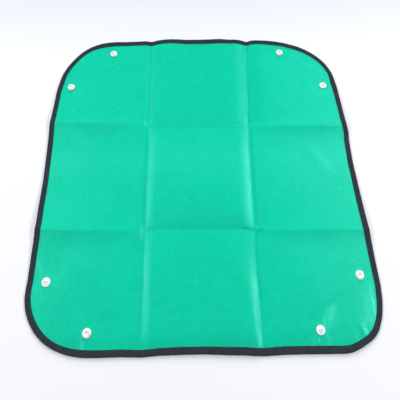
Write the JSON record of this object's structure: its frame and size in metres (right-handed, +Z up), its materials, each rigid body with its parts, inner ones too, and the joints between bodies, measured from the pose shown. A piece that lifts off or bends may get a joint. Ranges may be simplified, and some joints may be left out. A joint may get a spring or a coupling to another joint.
{
  "type": "repotting mat",
  "caption": "Square laminated mat with a bound edge and rounded corners; its corners pinch and snap together, which stands the sides up as an open tray for potting plants.",
  "frame": {"origin": "on the surface that the mat lies on, under the middle of the mat", "axes": "+Z up; +X to the right and +Y away from the viewer, along the mat's two sides"},
  "size_m": [0.5, 0.5, 0.0098],
  "materials": {
    "laminate": "green woven polyethylene sheet laminated on both faces, soft gloss, creased in three each way",
    "binding": "near-black ribbed woven tape, matt, lockstitched",
    "snap_plastic": "white moulded plastic, satin gloss"
  },
  "bodies": {
    "base": {"base_panel": "laminate"},
    "near_wall": {"near_wall_panel": "laminate", "near_wall_binding": "binding"},
    "near_left_corner_near_flap": {"near_left_corner_near_flap_panel": "laminate", "near_left_corner_near_flap_binding": "binding", "near_left_corner_near_flap_snap_cap": "snap_plastic", "near_left_corner_near_flap_snap_socket": "snap_plastic"},
    "near_right_corner_near_flap": {"near_right_corner_near_flap_panel": "laminate", "near_right_corner_near_flap_binding": "binding", "near_right_corner_near_flap_snap_cap": "snap_plastic", "near_right_corner_near_flap_snap_stud": "snap_plastic"},
    "right_wall": {"right_wall_panel": "laminate", "right_wall_binding": "binding"},
    "near_right_corner_right_flap": {"near_right_corner_right_flap_panel": "laminate", "near_right_corner_right_flap_binding": "binding", "near_right_corner_right_flap_snap_cap": "snap_plastic", "near_right_corner_right_flap_snap_socket": "snap_plastic"},
    "far_right_corner_right_flap": {"far_right_corner_right_flap_panel": "laminate", "far_right_corner_right_flap_binding": "binding", "far_right_corner_right_flap_snap_cap": "snap_plastic", "far_right_corner_right_flap_snap_stud": "snap_plastic"},
    "far_wall": {"far_wall_panel": "laminate", "far_wall_binding": "binding"},
    "far_right_corner_far_flap": {"far_right_corner_far_flap_panel": "laminate", "far_right_corner_far_flap_binding": "binding", "far_right_corner_far_flap_snap_cap": "snap_plastic", "far_right_corner_far_flap_snap_socket": "snap_plastic"},
    "far_left_corner_far_flap": {"far_left_corner_far_flap_panel": "laminate", "far_left_corner_far_flap_binding": "binding", "far_left_corner_far_flap_snap_cap": "snap_plastic", "far_left_corner_far_flap_snap_stud": "snap_plastic"},
    "left_wall": {"left_wall_panel": "laminate", "left_wall_binding": "binding"},
    "far_left_corner_left_flap": {"far_left_corner_left_flap_panel": "laminate", "far_left_corner_left_flap_binding": "binding", "far_left_corner_left_flap_snap_cap": "snap_plastic", "far_left_corner_left_flap_snap_socket": "snap_plastic"},
    "near_left_corner_left_flap": {"near_left_corner_left_flap_panel": "laminate", "near_left_corner_left_flap_binding": "binding", "near_left_corner_left_flap_snap_cap": "snap_plastic", "near_left_corner_left_flap_snap_stud": "snap_plastic"}
  },
  "joints": [
    {"name": "near_wall_fold", "type": "hinge", "parent": "base", "child": "near_wall", "pos_m": [0, -0.14, 0.00155], "axis": [-1, 0, 0], "range_deg": [0, 90]},
    {"name": "right_wall_fold", "type": "hinge", "parent": "base", "child": "right_wall", "pos_m": [0.14, 0, 0.00155], "axis": [0, -1, 0], "range_deg": [0, 90]},
    {"name": "far_wall_fold", "type": "hinge", "parent": "base", "child": "far_wall", "pos_m": [0, 0.14, 0.00155], "axis": [1, 0, 0], "range_deg": [0, 90]},
    {"name": "left_wall_fold", "type": "hinge", "parent": "base", "child": "left_wall", "pos_m": [-0.14, 0, 0.00155], "axis": [0, 1, 0], "range_deg": [0, 90]},
    {"name": "near_left_corner_near_flap_fold", "type": "hinge", "parent": "near_wall", "child": "near_left_corner_near_flap", "pos_m": [-0.13699, -0.14, 0.00155], "axis": [0, -1, 0], "range_deg": [0, 45]},
    {"name": "near_right_corner_near_flap_fold", "type": "hinge", "parent": "near_wall", "child": "near_right_corner_near_flap", "pos_m": [0.13699, -0.14, 0.00155], "axis": [0, 1, 0], "range_deg": [0, 45]},
    {"name": "near_right_corner_right_flap_fold", "type": "hinge", "parent": "right_wall", "child": "near_right_corner_right_flap", "pos_m": [0.14, -0.13699, 0.00155], "axis": [1, 0, 0], "range_deg": [0, 45]},
    {"name": "far_right_corner_right_flap_fold", "type": "hinge", "parent": "right_wall", "child": "far_right_corner_right_flap", "pos_m": [0.14, 0.13699, 0.00155], "axis": [-1, 0, 0], "range_deg": [0, 45]},
    {"name": "far_right_corner_far_flap_fold", "type": "hinge", "parent": "far_wall", "child": "far_right_corner_far_flap", "pos_m": [0.13699, 0.14, 0.00155], "axis": [0, 1, 0], "range_deg": [0, 45]},
    {"name": "far_left_corner_far_flap_fold", "type": "hinge", "parent": "far_wall", "child": "far_left_corner_far_flap", "pos_m": [-0.13699, 0.14, 0.00155], "axis": [0, -1, 0], "range_deg": [0, 45]},
    {"name": "far_left_corner_left_flap_fold", "type": "hinge", "parent": "left_wall", "child": "far_left_corner_left_flap", "pos_m": [-0.14, 0.13699, 0.00155], "axis": [-1, 0, 0], "range_deg": [0, 45]},
    {"name": "near_left_corner_left_flap_fold", "type": "hinge", "parent": "left_wall", "child": "near_left_corner_left_flap", "pos_m": [-0.14, -0.13699, 0.00155], "axis": [1, 0, 0], "range_deg": [0, 45]}
  ],
  "couplings": [
    {"joint": "right_wall_fold", "follows": "near_wall_fold", "ratio": 1},
    {"joint": "far_wall_fold", "follows": "near_wall_fold", "ratio": 1},
    {"joint": "left_wall_fold", "follows": "near_wall_fold", "ratio": 1},
    {"joint": "near_left_corner_near_flap_fold", "follows": "near_wall_fold", "ratio": 0.5},
    {"joint": "near_right_corner_near_flap_fold", "follows": "near_wall_fold", "ratio": 0.5},
    {"joint": "near_right_corner_right_flap_fold", "follows": "near_wall_fold", "ratio": 0.5},
    {"joint": "far_right_corner_right_flap_fold", "follows": "near_wall_fold", "ratio": 0.5},
    {"joint": "far_right_corner_far_flap_fold", "follows": "near_wall_fold", "ratio": 0.5},
    {"joint": "far_left_corner_far_flap_fold", "follows": "near_wall_fold", "ratio": 0.5},
    {"joint": "far_left_corner_left_flap_fold", "follows": "near_wall_fold", "ratio": 0.5},
    {"joint": "near_left_corner_left_flap_fold", "follows": "near_wall_fold", "ratio": 0.5}
  ]
}
